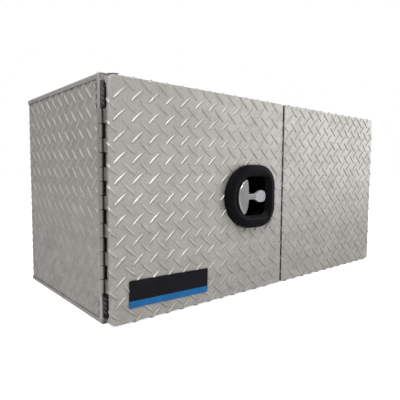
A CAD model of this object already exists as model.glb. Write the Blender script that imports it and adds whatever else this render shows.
"""The looks of an underbody tool box: tread plate, two barn doors and a folding T latch.

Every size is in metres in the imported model's frame, with Z up and the doors facing -Y.
"""

import logging
import math
from dataclasses import dataclass, field
from enum import Enum

import bmesh
import bpy
import numpy as np
from mathutils import Matrix, Vector


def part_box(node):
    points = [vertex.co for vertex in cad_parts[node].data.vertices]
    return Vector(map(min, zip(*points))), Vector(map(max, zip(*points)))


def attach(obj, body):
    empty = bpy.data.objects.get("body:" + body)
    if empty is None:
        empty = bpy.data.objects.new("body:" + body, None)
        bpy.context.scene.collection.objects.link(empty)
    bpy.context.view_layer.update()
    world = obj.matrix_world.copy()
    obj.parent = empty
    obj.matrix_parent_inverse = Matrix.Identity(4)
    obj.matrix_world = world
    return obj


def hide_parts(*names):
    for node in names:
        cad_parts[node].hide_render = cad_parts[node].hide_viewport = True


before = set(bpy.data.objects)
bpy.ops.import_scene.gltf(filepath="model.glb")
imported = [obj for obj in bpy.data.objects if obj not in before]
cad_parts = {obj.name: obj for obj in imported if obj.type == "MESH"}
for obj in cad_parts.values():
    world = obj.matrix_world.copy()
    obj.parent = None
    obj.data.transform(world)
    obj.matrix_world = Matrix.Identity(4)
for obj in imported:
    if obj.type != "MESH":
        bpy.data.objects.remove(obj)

LOG = logging.getLogger("tool_box")
PHOTO_SIDE = 400

Colour = tuple[float, float, float]
Outline = list[tuple[float, float]]
Ring = list[Vector]

# Mesh work: a length that counts as none, the least cosine that a mitre divides by, the distance at which
# points are joined, the plane cut's tolerance, how far a cutter runs past what it cuts, and a gap that
# only keeps two faces out of one plane.
TINY = 1e-6
SHARPEST = 0.6
MERGE = 0.000004
CUT_SNAP = 1e-7
OVERRUN = 0.001
HAIR = 0.0001


class Slot(Enum):
    """The record's material slots."""

    TREAD = "tread_plate"
    MILL = "mill_aluminium"
    HINGE = "hinge_aluminium"
    ZINC = "zinc_steel"
    HANDLE = "satin_handle"
    CASTING = "black_casting"
    RUBBER = "black_rubber"
    LABEL = "label_black"


class Special(Enum):
    """Finishes of single pieces, or of parts of a piece, beside the slots' own."""

    RIM = "worn_rim"
    THUMB = "thumb_rubbed"
    PAD = "dusty_pad"
    RIB = "streaked_rib"
    WELL = "unlit_well"
    LEDGE = "grey_ledge"


class Hand(Enum):
    """A side or an end of the box, whose word is used in node names."""

    @property
    def word(self) -> str:
        """The name in small letters."""
        return self.name.lower()


class Side(Hand):
    """The box's two hands, as the sign of X."""

    LEFT = -1
    RIGHT = 1


class Way(Hand):
    """Up or down."""

    UPPER = 1
    LOWER = -1


class Axis(Enum):
    """The axis that a turned piece goes round."""

    Y = 1
    Z = 2


Kind = Slot | Special


# Outlines and meshes


def arc(centre: tuple[float, float], radius: float, start: float, end: float, steps: int) -> Outline:
    """Points on an arc.

    Args:
        centre: the arc's centre.
        radius: its radius.
        start: first angle in degrees.
        end: last angle in degrees.
        steps: how many chords it has.

    Returns:
        The points from start to end.
    """
    turns = [math.radians(start + (end - start) * step / steps) for step in range(steps + 1)]
    return [(centre[0] + radius * math.cos(turn), centre[1] + radius * math.sin(turn)) for turn in turns]


def rounded_box(low: tuple[float, float], high: tuple[float, float], radius: float, steps: int) -> Outline:
    """A rectangle's outline with round corners, counter-clockwise.

    Args:
        low: lower left corner.
        high: upper right corner.
        radius: the corners' radius.
        steps: chords in each corner.

    Returns:
        The outline's points.
    """
    left, bottom = low[0] + radius, low[1] + radius
    right, top = high[0] - radius, high[1] - radius
    outline = arc((left, bottom), radius, 180, 270, steps) + arc((right, bottom), radius, 270, 360, steps)
    return outline + arc((right, top), radius, 0, 90, steps) + arc((left, top), radius, 90, 180, steps)


def shrunk(outline: Outline, inset: float) -> Outline:
    """Move an outline's points inward along their normals.

    Args:
        outline: a counter-clockwise closed outline.
        inset: how far each point moves.

    Returns:
        The moved points, as many as before.
    """
    points = np.array(outline)
    ahead = np.roll(points, -1, 0) - points
    behind = points - np.roll(points, 1, 0)
    ahead /= np.linalg.norm(ahead, axis=1)[:, None]
    behind /= np.linalg.norm(behind, axis=1)[:, None]
    normal_a = np.stack([-ahead[:, 1], ahead[:, 0]], 1)
    normal_b = np.stack([-behind[:, 1], behind[:, 0]], 1)
    middle = normal_a + normal_b
    middle /= np.linalg.norm(middle, axis=1)[:, None]
    reach = inset / np.clip((middle * normal_a).sum(1), SHARPEST, None)
    return [tuple(point) for point in points + middle * reach[:, None]]


def eased_bar(radius: float, low: float, high: float, ease: float) -> Outline:
    """The profile of a round bar with chamfered ends, for turning."""
    return [(0.0, low), (radius - ease, low), (radius, low + ease), (radius, high - ease),
            (radius - ease, high), (0.0, high)]


@dataclass
class Shape:
    """Points and faces of one mesh while it is being made."""

    points: list[Vector] = field(default_factory=list)
    faces: list[tuple[int, ...]] = field(default_factory=list)

    def ring(self, ring: Ring) -> list[int]:
        """Add a ring of points and return their numbers."""
        first = len(self.points)
        self.points.extend(Vector(point) for point in ring)
        return list(range(first, first + len(ring)))

    def loft(self, rings: list[Ring], closed: bool = False) -> None:
        """Join rings of equally many points with a skin.

        Args:
            rings: the rings in order.
            closed: whether the last ring joins the first one; if not, both get a lid.
        """
        numbers = [self.ring(ring) for ring in rings]
        pairs = list(zip(numbers, numbers[1:]))
        if closed:
            pairs.append((numbers[-1], numbers[0]))
        count = len(rings[0])
        for below, above in pairs:
            for here in range(count):
                there = (here + 1) % count
                self.faces.append((below[here], below[there], above[there], above[here]))
        if not closed:
            self.faces += [tuple(reversed(numbers[0])), tuple(numbers[-1])]

    def stand(self, outline: Outline, low: float, high: float) -> None:
        """Stand a flat outline up between two heights."""
        self.loft([[Vector((x, y, level)) for x, y in outline] for level in (low, high)])

    def turn(self, profile: Outline, centre: Vector, axis: Axis, sides: int) -> None:
        """Turn a profile about an axis.

        Args:
            profile: (radius, distance along the axis) points; a zero radius at an end closes it.
            centre: the point that the distances count from.
            axis: the axis that it goes round.
            sides: points in each ring.
        """
        rings = []
        for radius, along in profile:
            ring = []
            for across, up in arc((0, 0), max(radius, TINY), 0, 360, sides)[:-1]:
                place = (up, along, across) if axis is Axis.Y else (across, up, along)
                ring.append(centre + Vector(place))
            rings.append(ring)
        self.loft(rings, closed=profile[0][0] > 0 and profile[-1] == profile[0])

    def piece(self, name: str, sharp: float = 35.0) -> bpy.types.Object:
        """Make the object, with its faces turned outward and smooth up to an angle.

        Args:
            name: the piece's name.
            sharp: edges bent by more than these degrees stay sharp.

        Returns:
            The new object.
        """
        bm = bmesh.new()
        made = [bm.verts.new(point) for point in self.points]
        for face in self.faces:
            bm.faces.new([made[number] for number in face])
        bmesh.ops.remove_doubles(bm, verts=bm.verts, dist=MERGE)
        bmesh.ops.recalc_face_normals(bm, faces=bm.faces)
        return link_mesh(name, bm, sharp)


def link_mesh(name: str, bm: bmesh.types.BMesh, sharp: float) -> bpy.types.Object:
    """Turn a bmesh into a linked, smooth-shaded object.

    Args:
        name: the piece's name.
        bm: the mesh, which is used up.
        sharp: edges bent by more than these degrees stay sharp.

    Returns:
        The new object.
    """
    mesh = bpy.data.meshes.new(name)
    bm.to_mesh(mesh)
    bm.free()
    mesh.shade_smooth()
    mesh.set_sharp_from_angle(angle=math.radians(sharp))
    made = bpy.data.objects.new(name, mesh)
    bpy.context.scene.collection.objects.link(made)
    return made


def bisect(bm: bmesh.types.BMesh, spot: Vector, normal: Vector, drop: bool = False) -> None:
    """Cut a mesh along a plane.

    Args:
        bm: the mesh.
        spot: a point of the plane.
        normal: the plane's normal.
        drop: whether what lies beyond the plane goes and the cuts are closed.
    """
    geometry = list(bm.verts) + list(bm.edges) + list(bm.faces)
    bmesh.ops.bisect_plane(bm, geom=geometry, dist=CUT_SNAP, plane_co=spot, plane_no=normal, clear_outer=drop)
    if drop:
        bmesh.ops.holes_fill(bm, edges=[edge for edge in bm.edges if edge.is_boundary], sides=0)


def split(piece: bpy.types.Object, spot: Vector, normal: Vector) -> None:
    """Cut a piece's faces along a plane and keep both sides.

    Args:
        piece: the piece.
        spot: a point of the plane.
        normal: the plane's normal.
    """
    bm = bmesh.new()
    bm.from_mesh(piece.data)
    bisect(bm, spot, normal)
    bm.to_mesh(piece.data)
    bm.free()


def carve(target: bpy.types.Object, tool: bpy.types.Object, sharp: float) -> None:
    """Cut one object out of another and remove the tool.

    Args:
        target: the piece that is cut.
        tool: the closed mesh that is taken away.
        sharp: edges bent by more than these degrees stay sharp.
    """
    change = target.modifiers.new("carve", "BOOLEAN")
    change.object = tool
    change.solver = "EXACT"
    bpy.context.view_layer.update()
    solid = target.evaluated_get(bpy.context.evaluated_depsgraph_get())
    mesh = bpy.data.meshes.new_from_object(solid)
    target.modifiers.clear()
    target.data = mesh
    mesh.shade_smooth()
    mesh.set_sharp_from_angle(angle=math.radians(sharp))
    bpy.data.objects.remove(tool, do_unlink=True)


def box_shape(shape: Shape, low: tuple[float, float, float], high: tuple[float, float, float],
              round_edge: float = 0.0) -> None:
    """Add a bar with eased edges between two corners.

    Args:
        shape: the mesh that it goes into.
        low: lowest corner.
        high: highest corner.
        round_edge: radius of the eased edges.
    """
    ease = max(round_edge, TINY)
    steps = 3 if round_edge else 1
    rings = []
    for height, inset in ((low[2], ease), (low[2] + ease, 0), (high[2] - ease, 0), (high[2], ease)):
        outline = rounded_box((low[0] + inset, low[1] + inset), (high[0] - inset, high[1] - inset),
                              ease, steps)
        rings.append([Vector((x, y, height)) for x, y in outline])
    shape.loft(rings)


# Shader nodes


Feed = bpy.types.NodeSocket | float | tuple
# The part of a noise's range that is spread out to a full mask.
SOFT = (0.3, 0.7)
FLOAT = "NodeSocketFloat"


class NodeBench:
    """Adds and joins the nodes of one node tree."""

    def __init__(self, tree: bpy.types.NodeTree) -> None:
        """Keep the tree that is worked on."""
        self.tree = tree

    def add(self, kind: str, **settings: object) -> bpy.types.Node:
        """Add a node and set its properties.

        Args:
            kind: the node's type name.
            settings: its properties by name.

        Returns:
            The new node.
        """
        node = self.tree.nodes.new(kind)
        for label, value in settings.items():
            setattr(node, label, value)
        return node

    def feed(self, socket: bpy.types.NodeSocket, value: Feed) -> None:
        """Join a socket to another one, or set its value."""
        if isinstance(value, bpy.types.NodeSocket):
            self.tree.links.new(value, socket)
        elif isinstance(value, tuple) and socket.type == "RGBA":
            socket.default_value = (*value, 1.0)
        else:
            socket.default_value = value

    def feeds(self, node: bpy.types.Node, **values: Feed) -> None:
        """Feed a node's inputs by name, with spaces written as underscores."""
        for label, value in values.items():
            self.feed(node.inputs[label.replace("_", " ")], value)

    def math(self, operation: str, *values: Feed) -> bpy.types.NodeSocket:
        """A maths node on one to three values."""
        node = self.add("ShaderNodeMath", operation=operation)
        for socket, value in zip(node.inputs, values):
            self.feed(socket, value)
        return node.outputs[0]

    def band(self, value: Feed, low: float, high: float, out_low: float = 0.0,
             out_high: float = 1.0) -> bpy.types.NodeSocket:
        """Map a value from one range to another, held at its ends.

        Args:
            value: what is mapped.
            low: its low end.
            high: its high end.
            out_low: the result at the low end.
            out_high: the result at the high end.

        Returns:
            The mapped value.
        """
        node = self.add("ShaderNodeMapRange", interpolation_type="SMOOTHSTEP")
        for socket, number in zip(node.inputs, (value, low, high, out_low, out_high)):
            self.feed(socket, number)
        return node.outputs[0]

    def blend(self, mask: Feed, first: Feed, second: Feed) -> bpy.types.NodeSocket:
        """Mix two colours by a mask."""
        node = self.add("ShaderNodeMix", data_type="RGBA", clamp_factor=True)
        self.feed(node.inputs[0], mask)
        self.feed(node.inputs[6], first)
        self.feed(node.inputs[7], second)
        return node.outputs[2]

    def noise(self, size: float, stretch: Colour = (1.0, 1.0, 1.0), detail: float = 3.0,
              turn: Colour = (0.0, 0.0, 0.0), warp: float = 0.0) -> bpy.types.NodeSocket:
        """Noise fixed to the piece.

        Args:
            size: the size of one patch in metres.
            stretch: how much longer a patch is along each axis.
            detail: how many finer layers it has.
            turn: how the pattern is turned, in radians.
            warp: how much it is distorted.

        Returns:
            A value from 0 to 1.
        """
        place = self.add("ShaderNodeTexCoord")
        mapping = self.add("ShaderNodeMapping")
        scale = [1.0 / (size * part) for part in stretch]
        self.feeds(mapping, Rotation=turn, Scale=scale, Vector=place.outputs["Object"])
        texture = self.add("ShaderNodeTexNoise")
        self.feeds(texture, Scale=1.0, Detail=detail, Distortion=warp, Vector=mapping.outputs["Vector"])
        return texture.outputs[0]


class Effect:
    """A shader node group with named inputs and outputs, placed in several materials."""

    def __init__(self, name: str, inputs: dict[str, float], outputs: dict[str, str]) -> None:
        """Make the group and its sockets.

        Args:
            name: the group's name.
            inputs: input names with their plain values.
            outputs: output names with their socket types.
        """
        self.tree = bpy.data.node_groups.new(name, "ShaderNodeTree")
        for label, value in inputs.items():
            socket = self.tree.interface.new_socket(name=label, in_out="INPUT", socket_type=FLOAT)
            socket.default_value = value
        for label, kind in outputs.items():
            self.tree.interface.new_socket(name=label, in_out="OUTPUT", socket_type=kind)
        self.bench = NodeBench(self.tree)
        self.entry = self.bench.add("NodeGroupInput").outputs
        self.exit = self.bench.add("NodeGroupOutput").inputs

    def place(self, bench: NodeBench, **values: float) -> bpy.types.NodeOutputs:
        """Put the effect into a material.

        Args:
            bench: the material's nodes.
            values: inputs by name, with spaces written as underscores.

        Returns:
            The placed group's outputs.
        """
        node = bench.add("ShaderNodeGroup", node_tree=self.tree)
        bench.feeds(node, **values)
        return node.outputs


class Effects:
    """The four effects that the finishes share."""

    def __init__(self) -> None:
        """Build each effect once."""
        self.grain = self.rolled_grain()
        self.scratches = self.hair_scratches()
        self.rubbing = self.rubbed_edges()
        self.dust = self.settled_dust()

    @staticmethod
    def rolled_grain() -> Effect:
        """Roll lines, cloudy patches and fine grit of a rolled or cast surface."""
        effect = Effect("rolled_grain", {"Line Strength": 1.0},
                        {"Lines": FLOAT, "Patches": FLOAT, "Mottle": FLOAT, "Grit": FLOAT})
        bench = effect.bench
        across = bench.noise(0.0011, (140.0, 140.0, 1.0), 2.0)
        lines = bench.math("MULTIPLY", bench.band(across, *SOFT), effect.entry["Line Strength"])
        bench.feed(effect.exit["Lines"], lines)
        bench.feed(effect.exit["Patches"], bench.band(bench.noise(0.045, detail=4.0, warp=0.6), *SOFT))
        bench.feed(effect.exit["Mottle"], bench.band(bench.noise(0.0032, detail=3.0, warp=0.3), *SOFT))
        bench.feed(effect.exit["Grit"], bench.noise(0.0009, detail=2.0))
        return effect

    @staticmethod
    def hair_scratches() -> Effect:
        """Sparse hairline scratches in two directions."""
        effect = Effect("hair_scratches", {"Amount": 1.0}, {"Mask": FLOAT})
        bench = effect.bench
        first = bench.band(bench.noise(0.0012, (26.0, 30.0, 1.0), 1.0, (0.3, 0.5, 0.4)), 0.70, 0.76)
        second = bench.band(bench.noise(0.0013, (1.0, 22.0, 24.0), 1.0, (0.9, 0.2, 0.7)), 0.71, 0.77)
        gaps = bench.band(bench.noise(0.06, detail=1.0), 0.42, 0.62)
        both = bench.math("MULTIPLY", bench.math("MAXIMUM", first, second), gaps)
        bench.feed(effect.exit["Mask"], bench.math("MULTIPLY", both, effect.entry["Amount"]))
        return effect

    @staticmethod
    def rubbed_edges() -> Effect:
        """Edges softened and rubbed bright by handling."""
        effect = Effect("rubbed_edges", {"Radius": 0.0008, "Amount": 1.0},
                        {"Mask": FLOAT, "Normal": "NodeSocketVector"})
        bench = effect.bench
        soft = bench.add("ShaderNodeBevel", samples=4)
        bench.feed(soft.inputs["Radius"], effect.entry["Radius"])
        true = bench.add("ShaderNodeNewGeometry")
        dot = bench.add("ShaderNodeVectorMath", operation="DOT_PRODUCT")
        bench.feed(dot.inputs[0], soft.outputs["Normal"])
        bench.feed(dot.inputs[1], true.outputs["Normal"])
        bent = bench.band(bench.math("SUBTRACT", 1.0, dot.outputs["Value"]), 0.02, 0.2)
        broken = bench.band(bench.noise(0.006, detail=3.0), 0.35, 0.6, 0.25, 1.0)
        worn = bench.math("MULTIPLY", bench.math("MULTIPLY", bent, broken), effect.entry["Amount"])
        bench.feed(effect.exit["Mask"], worn)
        bench.feed(effect.exit["Normal"], soft.outputs["Normal"])
        return effect

    @staticmethod
    def settled_dust() -> Effect:
        """Film of dirt in corners and towards the floor."""
        effect = Effect("settled_dust", {"Corners": 0.5, "Reach": 0.006, "Low Film": 0.2},
                        {"Mask": FLOAT})
        bench = effect.bench
        corner = bench.add("ShaderNodeAmbientOcclusion", samples=4)
        bench.feed(corner.inputs["Distance"], effect.entry["Reach"])
        shut = bench.math("SUBTRACT", 1.0, corner.outputs["AO"])
        place = bench.add("ShaderNodeTexCoord")
        parts = bench.add("ShaderNodeSeparateXYZ")
        bench.feed(parts.inputs[0], place.outputs["Object"])
        low = bench.band(parts.outputs["Z"], 0.0, 0.30, 1.0, 0.0)
        cloudy = bench.band(bench.noise(0.03, detail=4.0), 0.25, 0.75, 0.5, 1.0)
        film = bench.math("MULTIPLY", bench.math("MULTIPLY", low, cloudy), effect.entry["Low Film"])
        held = bench.math("MULTIPLY", bench.math("MULTIPLY", shut, cloudy), effect.entry["Corners"])
        bench.feed(effect.exit["Mask"], bench.math("ADD", film, held))
        return effect


def new_material(kind: Kind) -> tuple[bpy.types.Material, NodeBench, bpy.types.Node]:
    """An empty material with its Principled shader.

    Args:
        kind: the finish that it is named for.

    Returns:
        The material, its node bench and the shader.
    """
    made = bpy.data.materials.new(kind.value + "_finish")
    made.use_nodes = True
    return made, NodeBench(made.node_tree), made.node_tree.nodes["Principled BSDF"]


@dataclass(frozen=True)
class MetalFinish:
    """Bare metal: its two greys, roughness range, roll lines, rubbing and dirt."""

    kind: Kind
    light: Colour
    dark: Colour
    smooth: float
    rough: float
    metallic: float
    lines: float
    rubbing: float
    film: float
    corners: float
    bump: float
    scratches: float = 0.6
    edge: float = 0.0008
    reach: float = 0.006
    worn: float = 1.25
    grime: Colour = (0.10, 0.095, 0.085)
    cloud_mix: tuple[float, float, float] = (-0.3, 0.4, 0.6)
    rough_mix: tuple[float, float] = (0.35, 0.65)
    rough_span: tuple[float, float] = (0.1, 0.9)
    dirt_dulls: float = 0.3
    rubbing_dulls: float = -0.1
    line_height: float = 0.5
    scratch_height: float = -0.8
    depth: float = 0.00012

    def build(self, effects: Effects) -> bpy.types.Material:
        """Make the material.

        Args:
            effects: the shared effects.

        Returns:
            The finished material.
        """
        made, bench, shader = new_material(self.kind)
        grain = effects.grain.place(bench, Line_Strength=self.lines)
        rubbed = effects.rubbing.place(bench, Radius=self.edge, Amount=self.rubbing)
        hair = effects.scratches.place(bench, Amount=self.scratches)
        dirt = effects.dust.place(bench, Corners=self.corners, Reach=self.reach, Low_Film=self.film)
        lines, patches, mottle = self.cloud_mix
        broad = bench.math("MULTIPLY_ADD", grain["Lines"], lines,
                           bench.math("MULTIPLY", grain["Patches"], patches))
        cloud = bench.math("MULTIPLY_ADD", grain["Mottle"], mottle, broad)
        base = bench.blend(cloud, self.dark, self.light)
        bright = tuple(min(1.0, self.worn * part) for part in self.light)
        marked = bench.blend(bench.math("MAXIMUM", rubbed["Mask"], hair["Mask"]), base, bright)
        colour = bench.blend(dirt["Mask"], marked, self.grime)
        grit, broad_share = self.rough_mix
        uneven = bench.math("MULTIPLY_ADD", grain["Grit"], grit, bench.math("MULTIPLY", cloud, broad_share))
        plain = bench.band(uneven, *self.rough_span, self.rough, self.smooth)
        dull = bench.math("MULTIPLY_ADD", dirt["Mask"], self.dirt_dulls, plain)
        rough = bench.math("MULTIPLY_ADD", rubbed["Mask"], self.rubbing_dulls, dull)
        height = bench.math("MULTIPLY_ADD", grain["Lines"], self.line_height, grain["Grit"])
        relief = bench.add("ShaderNodeBump")
        dents = bench.math("MULTIPLY_ADD", hair["Mask"], self.scratch_height, height)
        bench.feeds(relief, Distance=self.depth, Strength=self.bump, Height=dents, Normal=rubbed["Normal"])
        bench.feeds(shader, Base_Color=colour, Metallic=self.metallic, Roughness=rough,
                    Normal=relief.outputs["Normal"])
        return made


@dataclass(frozen=True)
class CoatedFinish:
    """Dark paint, moulding or rubber: its colours, gloss, skin texture and dirt."""

    kind: Kind
    body: Colour
    faded: Colour
    rough: float
    gloss: float
    skin: float
    skin_size: float
    rubbing: float
    corners: float
    dirt: Colour = (0.05, 0.048, 0.045)
    edge: float = 0.0006
    reach: float = 0.004
    worn: tuple[float, float] = (2.0, 0.01)
    rough_span: tuple[float, float] = (-0.04, 0.05)
    dirt_dulls: float = 0.3
    depth: float = 0.0002

    def build(self, effects: Effects) -> bpy.types.Material:
        """Make the material.

        Args:
            effects: the shared effects.

        Returns:
            The finished material.
        """
        made, bench, shader = new_material(self.kind)
        grain = effects.grain.place(bench, Line_Strength=0.0)
        rubbed = effects.rubbing.place(bench, Radius=self.edge, Amount=self.rubbing)
        settled = effects.dust.place(bench, Corners=self.corners, Reach=self.reach, Low_Film=0.0)
        base = bench.blend(grain["Patches"], self.body, self.faded)
        gain, lift = self.worn
        light = tuple(gain * part + lift for part in self.faded)
        marked = bench.blend(rubbed["Mask"], base, light)
        colour = bench.blend(settled["Mask"], marked, self.dirt)
        smooth, dull = (self.rough + part for part in self.rough_span)
        rough = bench.math("MULTIPLY_ADD", settled["Mask"], self.dirt_dulls,
                           bench.band(grain["Patches"], 0.0, 1.0, smooth, dull))
        relief = bench.add("ShaderNodeBump")
        bench.feeds(relief, Distance=self.depth, Strength=self.skin,
                    Height=bench.noise(self.skin_size, detail=3.0), Normal=rubbed["Normal"])
        bench.feeds(shader, Base_Color=colour, Roughness=rough, Specular_IOR_Level=self.gloss,
                    Normal=relief.outputs["Normal"])
        return made


class Finishes:
    """Every finish of the box, by its slot or its own name."""

    def __init__(self) -> None:
        """Build the shared effects and the finishes."""
        effects = Effects()
        metal, coated = MetalFinish, CoatedFinish
        soot, clean = (0.015, 0.014, 0.012), 0.0
        makers = [
            metal(Slot.TREAD, (0.48, 0.467, 0.445), (0.37, 0.36, 0.342), smooth=0.40, rough=0.54,
                  metallic=0.45, lines=0.3, rubbing=0.4, film=0.26, corners=1.2, bump=0.7,
                  grime=(0.05, 0.047, 0.042)),
            metal(Slot.MILL, (0.48, 0.475, 0.46), (0.40, 0.395, 0.38), smooth=0.36, rough=0.48, metallic=0.5,
                  lines=1.0, rubbing=0.4, film=0.1, corners=1.4, bump=0.3, reach=0.012, grime=soot),
            metal(Slot.HINGE, (0.38, 0.37, 0.335), (0.29, 0.285, 0.26), smooth=0.36, rough=0.48, metallic=0.7,
                  lines=0.3, rubbing=0.5, film=0.1, corners=1.8, bump=0.3, edge=0.0004, reach=0.02,
                  grime=soot),
            metal(Slot.ZINC, (0.52, 0.53, 0.54), (0.42, 0.42, 0.42), smooth=0.26, rough=0.40, metallic=0.95,
                  lines=0.2, rubbing=0.6, film=clean, corners=0.6, bump=0.25, edge=0.0004),
            metal(Slot.HANDLE, (0.24, 0.24, 0.247), (0.205, 0.205, 0.212), smooth=0.42, rough=0.50,
                  metallic=0.6, lines=0.15, rubbing=1.0, film=clean, corners=0.3, bump=0.2, scratches=0.3,
                  edge=0.0009, worn=1.9),
            coated(Slot.CASTING, (0.0035, 0.0035, 0.005), (0.005, 0.005, 0.007), rough=0.44, gloss=0.04,
                   skin=0.12, skin_size=0.0011, rubbing=0.5, corners=clean),
            coated(Slot.RUBBER, (0.005, 0.005, 0.005), (0.009, 0.009, 0.009), rough=0.66, gloss=0.14,
                   skin=0.3, skin_size=0.0006, rubbing=0.1, corners=0.1),
            coated(Slot.LABEL, (0.002, 0.0025, 0.004), (0.004, 0.0045, 0.007), rough=0.34, gloss=0.12,
                   skin=0.05, skin_size=0.002, rubbing=0.1, corners=clean),
            metal(Special.RIM, (0.62, 0.62, 0.63), (0.5, 0.5, 0.51), smooth=0.24, rough=0.34, metallic=0.7,
                  lines=0.1, rubbing=1.0, film=clean, corners=0.1, bump=0.15, scratches=0.3, edge=0.0006),
            metal(Special.THUMB, (0.38, 0.38, 0.39), (0.33, 0.33, 0.34), smooth=0.40, rough=0.50,
                  metallic=0.6, lines=0.15, rubbing=1.0, film=clean, corners=0.3, bump=0.2, scratches=0.3,
                  edge=0.0009, worn=1.6),
            coated(Special.PAD, (0.002, 0.002, 0.002), (0.08, 0.077, 0.07), rough=0.5, gloss=0.2, skin=0.3,
                   skin_size=0.0006, rubbing=0.3, corners=0.2),
            coated(Special.RIB, (0.09, 0.087, 0.08), (0.22, 0.215, 0.20), rough=0.5, gloss=0.3, skin=0.3,
                   skin_size=0.0006, rubbing=0.3, corners=0.2),
            coated(Special.WELL, (0.0006, 0.0006, 0.0008), (0.0012, 0.0012, 0.0016), rough=0.8, gloss=0.01,
                   skin=0.3, skin_size=0.0011, rubbing=0.0, corners=clean),
            coated(Special.LEDGE, (0.011, 0.011, 0.013), (0.017, 0.017, 0.019), rough=0.44, gloss=0.06,
                   skin=0.12, skin_size=0.0011, rubbing=0.5, corners=clean),
        ]
        self.by_kind = {maker.kind: maker.build(effects) for maker in makers}


@dataclass
class Workshop:
    """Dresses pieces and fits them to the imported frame."""

    finishes: dict[Kind, bpy.types.Material]

    def dress(self, piece: bpy.types.Object, *kinds: Kind) -> None:
        """Give a piece its finishes in the order of its faces' material numbers."""
        for kind in kinds:
            piece.data.materials.append(self.finishes[kind])

    def fit(self, piece: bpy.types.Object, body: str, slot: Slot, *stands_for: str) -> None:
        """Give a piece its body, the CAD nodes that it stands for and, if it is bare, its slot's finish.

        Args:
            piece: the new object.
            body: the CAD body that it moves with.
            slot: its material slot.
            stands_for: the CAD nodes that it replaces.
        """
        if not piece.data.materials:
            self.dress(piece, slot)
        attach(piece, body)
        if stands_for:
            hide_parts(*stands_for)
        LOG.info("%s: %d faces on %s", piece.name, len(piece.data.polygons), body)


# Tread plate


@dataclass(frozen=True)
class TreadLug:
    """One raised lug: a slim lens with pointed tips, hollow flanks and a narrow crest bowed to its left."""

    reach_across: float = 0.0132
    reach_up: float = 0.0122
    half_width: float = 0.0034
    height: float = 0.0022
    root: float = 0.0003
    bow: float = 0.0007
    fullness: tuple[float, float] = (0.5, 0.38)
    stations: tuple[float, ...] = (-0.95, -0.8, -0.5, -0.17, 0.17, 0.5, 0.8, 0.95)
    section: tuple[tuple[float, float], ...] = (
        (-1.0, 0.0), (-0.62, 0.24), (-0.28, 0.76), (0.0, 1.0), (0.28, 0.76), (0.62, 0.24), (1.0, 0.0))

    def template(self, lean: int) -> tuple[np.ndarray, list[tuple[int, ...]]]:
        """Points and faces of one lug round its centre.

        Args:
            lean: 1 leans like a slash, -1 like a backslash.

        Returns:
            Points as (across, up, out) rows, and the faces.
        """
        along = np.array([lean * self.reach_across, self.reach_up])
        across = np.array([-along[1], along[0]]) / np.linalg.norm(along)
        rows: list[list[float]] = []
        for place in self.stations:
            width = self.half_width * (1 - place * place) ** self.fullness[0]
            rise = self.height * (1 - place * place) ** self.fullness[1]
            bend = self.bow * (1 - place * place)
            for offset, level in self.section:
                spot = along * place + across * (width * offset + bend * level)
                rows.append([spot[0], spot[1], rise * level - (self.root if level == 0 else 0)])
        faces: list[tuple[int, ...]] = []
        many, wide = len(self.stations), len(self.section)
        for row in range(many - 1):
            for column in range(wide - 1):
                first = row * wide + column
                faces.append((first, first + 1, first + wide + 1, first + wide))
        tips = (len(rows), len(rows) + 1)
        rows += [[*(-along), -self.root], [*along, -self.root]]
        last = (many - 1) * wide
        for column in range(wide - 1):
            faces.append((tips[0], column + 1, column))
            faces.append((last + column, last + column + 1, tips[1]))
        rim = [tips[0]] + [row * wide for row in range(many)]
        rim += [tips[1]] + [row * wide + wide - 1 for row in reversed(range(many))]
        faces.append(tuple(rim))
        return np.array(rows), faces


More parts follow.
